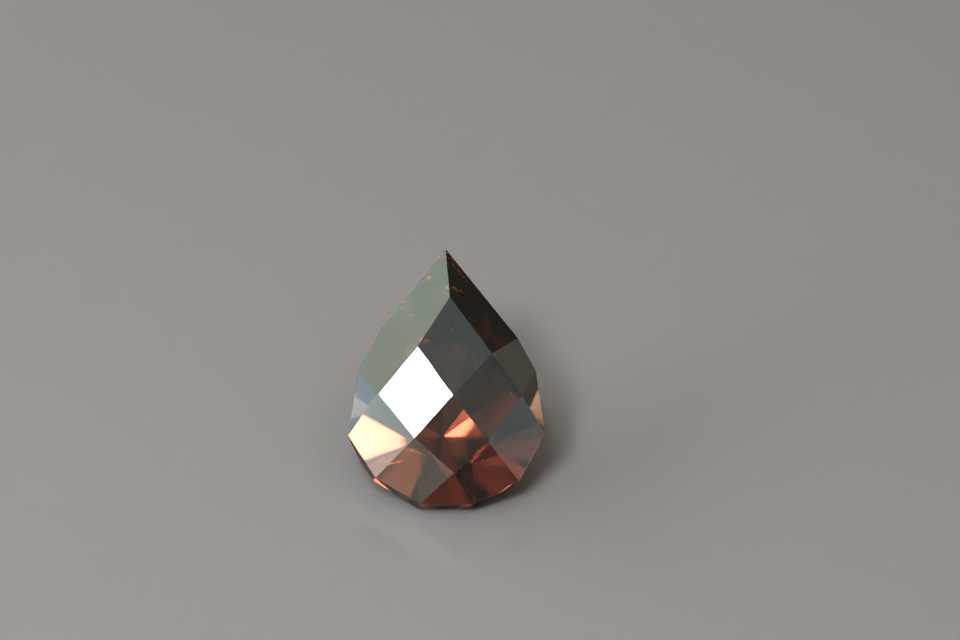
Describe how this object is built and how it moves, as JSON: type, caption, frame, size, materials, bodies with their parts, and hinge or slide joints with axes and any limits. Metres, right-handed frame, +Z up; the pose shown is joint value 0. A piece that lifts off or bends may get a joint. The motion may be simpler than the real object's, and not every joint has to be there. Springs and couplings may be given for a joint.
{
  "type": "faceted zircon gemstone",
  "caption": "Transparent reddish-brown drop-shaped gem with a checkerboard crown of lozenge facets, lying on a broad facet of its pointed back.",
  "frame": {"origin": "centre of the bounding box, on the plane that the stone lies on", "axes": "+Z up, -Y the side that the crown faces, +Y the side that the tip leans to, +X across the stone to the right as seen from the crown side"},
  "size_m": [0.0074, 0.008, 0.0064],
  "materials": {
    "zircon": "polished facets"
  },
  "bodies": {
    "root": {"zircon": "zircon"}
  },
  "joints": []
}
